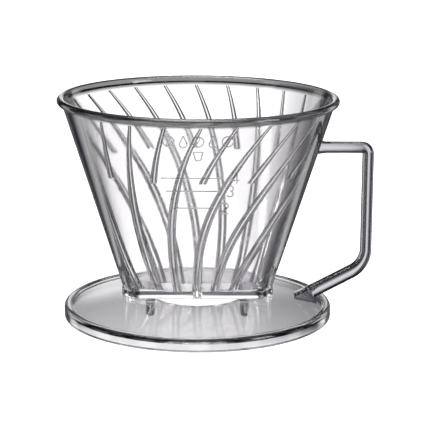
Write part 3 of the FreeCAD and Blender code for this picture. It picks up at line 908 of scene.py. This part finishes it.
def clear_plastic(name, clear, edge_power, waviness, haze):
    """Clear moulded plastic whose colour gets painted shade where it is seen edge on, with faint
    handling marks and waves.
    """
    material, shader, place = new_material(name)
    height = place.node("ShaderNodeSeparateXYZ", {}, {0: place}, 2)
    rim = height.between(BEAD_LOW.z - RIM_FADE, BEAD_LOW.z)
    # Painted shade: the colour darkens edge on, at the outlines, in the ribs and in the rim, in place of
    # the dark edges that clear plastic shows by refraction.
    feed(shader, "Base Color", painted_shade_share(place, edge_power, rim).mix(clear, PAINTED_SHADE_COLOUR))
    handling = noise(place, HANDLING_SIZE, 4.0).between(*HANDLING_RANGE)
    scuffs = scratches(place) * (1 - rim)
    feed(shader, "Roughness", haze + HANDLING_HAZE * handling + SCUFF_HAZE * scuffs)
    waves = add_bump(place, waviness, WAVE_HEIGHT, noise(place, WAVE_SIZE, 1.0))
    feed(shader, "Normal", add_bump(place, SCUFF_BUMP, SCRATCH_DEPTH, scuffs, Normal=waves))
    shader.inputs["Transmission Weight"].default_value = 1.0
    shader.inputs["IOR"].default_value = PLASTIC_IOR
    return material


def scratches(place):
    """Sparse hair-fine scratches: thin level lines of two stretched noises, in patches."""
    lines = []
    for angle in SCRATCH_TURNS:
        across = math.radians(angle)
        inputs = {
            "Vector": place,
            "Rotation": (across, math.radians(angle / 2), across),
            "Scale": SCRATCH_STRETCH,
        }
        turned_place = place.node("ShaderNodeMapping", {}, inputs)
        streak = noise(turned_place, SCRATCH_SIZE, 3.0)
        lines.append(1 - abs(streak - 0.5).between(0, SCRATCH_WIDTH))
    return lines[0].math("MAXIMUM", lines[1]) * noise(place, SCUFF_SIZE, 1.0).between(*SCUFF_RANGE)


def satin_plastic(name):
    """The raised marks: the same plastic with a fine matt texture from the mould."""
    material, shader, place = new_material(name)
    grain = noise(place, GRAIN_SIZE, 3.0)
    feed(shader, "Base Color", grain.mix(MARK_DARK, MARK_LIGHT))
    feed(shader, "Roughness", MARK_HAZE + GRAIN_HAZE * grain)
    feed(shader, "Normal", add_bump(place, GRAIN_BUMP, GRAIN_DEPTH, grain))
    shader.inputs["Transmission Weight"].default_value = 1.0
    shader.inputs["IOR"].default_value = PLASTIC_IOR
    return material


def finish_piece(piece, material, slot, *nodes):
    piece.data.materials.clear()
    piece.data.materials.append(material)
    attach(piece, "root")
    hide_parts(*nodes)


# ---------------------------------------------------------------- stage, light and camera


def make_floor():
    """A plain white table, wide enough to fill the view, that glows a little like a lit sweep."""
    bpy.ops.object.select_all(action="DESELECT")
    bpy.ops.mesh.primitive_circle_add(
        vertices=96, radius=TABLE_RADIUS, fill_type="NGON", location=(0, 0, RING_LOW_Z - SEAM)
    )
    floor = bpy.context.object
    floor.name = "white_table"
    material, shader, _ = new_material("white_table")
    shader.inputs["Base Color"].default_value = TABLE_WHITE
    shader.inputs["Roughness"].default_value = 0.6
    shader.inputs["Emission Color"].default_value = (1, 1, 1, 1)
    shader.inputs["Emission Strength"].default_value = TABLE_GLOW
    floor.data.materials.append(material)
    floor.visible_transmission = False
    floor.visible_glossy = False


def make_room():
    """A studio of tall soft panels with darker gaps between them, and plain white to the camera."""
    world = bpy.data.worlds.new("studio")
    bpy.context.scene.world = world
    world.use_nodes = True
    tree = world.node_tree
    background = tree.nodes["Background"]
    way = Socket(tree, None).node("ShaderNodeTexCoord", output=0)
    x, y, z = (way.node("ShaderNodeSeparateXYZ", {}, {0: way}, axis) for axis in range(3))
    level = z.node("ShaderNodeValToRGB", {"stops": ROOM_STOPS}, {0: 0.5 + 0.5 * z})
    phase = (PANEL_COUNT / (2 * math.pi)) * x.math("ARCTAN2", y) + 0.5
    panels = phase.node("ShaderNodeValToRGB", {"stops": PANEL_STOPS}, {0: phase.math("FRACT")})
    shade = abs(z).between(*UPRIGHT_RANGE).mix((1, 1, 1, 1), panels)
    settings = {"data_type": "RGBA", "blend_type": "MULTIPLY"}
    room = level.node("ShaderNodeMix", settings, {"Factor": 1.0, 6: level, 7: shade}, 2)
    seen = Socket(tree, None).node("ShaderNodeLightPath", output=0)
    colour = seen.mix(room, (1, 1, 1, 1))
    tree.links.new(colour.source, background.inputs["Color"])


def add_softbox(name, place, size, power, reflected):
    light = bpy.data.lights.new(name, "AREA")
    light.shape = "RECTANGLE"
    light.size, light.size_y = size
    light.energy = power
    softbox = bpy.data.objects.new(name, light)
    softbox.location = place
    way = Vector(SOFTBOX_TARGET) - Vector(place)
    softbox.rotation_euler = way.to_track_quat("-Z", "Y").to_euler()
    softbox.visible_glossy = reflected
    bpy.context.collection.objects.link(softbox)


def make_camera():
    data = bpy.data.cameras.new("camera")
    data.lens = LENS
    data.sensor_width = 36
    data.clip_start, data.clip_end = 0.01, 100
    camera = bpy.data.objects.new("camera", data)
    camera.location = CAMERA_PLACE
    tilt = Euler((math.pi / 2 - CAMERA_PITCH, 0, -CAMERA_YAW)).to_matrix()
    camera.rotation_euler = (tilt @ Matrix.Rotation(CAMERA_ROLL, 3, "Z")).to_euler()
    bpy.context.collection.objects.link(camera)
    bpy.context.scene.camera = camera


# ---------------------------------------------------------------- the whole scene


def nodes_like(*starts):
    return [name for name in sorted(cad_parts) if name.startswith(starts)]


def main():
    cup = make_cup()
    saucer = make_saucer()
    handle = make_handle()
    cup_nodes = nodes_like("cup_wall", "cup_floor", "rim_bead", "base_collar", "long_rib", "short_rib")
    saucer_nodes = nodes_like("saucer", "locating_leg")
    handle_nodes = nodes_like("handle")
    finish_piece(cup, clear_plastic("clear_cup", **CUP_FINISH), "cup_plastic", *cup_nodes)
    finish_piece(saucer, clear_plastic("clear_saucer", **SAUCER_FINISH), "saucer_plastic", *saucer_nodes)
    finish_piece(handle, clear_plastic("clear_handle", **HANDLE_FINISH), "handle_plastic", *handle_nodes)
    satin = satin_plastic("raised_marks")
    for node in nodes_like("level", "bean", "drop", "cup_mark"):
        finish_piece(make_mark(node), satin, "raised_marks", node)

    make_floor()
    make_room()
    for softbox in SOFTBOXES:
        add_softbox(*softbox)
    make_camera()
    scene = bpy.context.scene
    scene.view_settings.view_transform = "Standard"
    scene.cycles.max_bounces = 32
    scene.cycles.transmission_bounces = 32
    scene.cycles.glossy_bounces = 12


main()
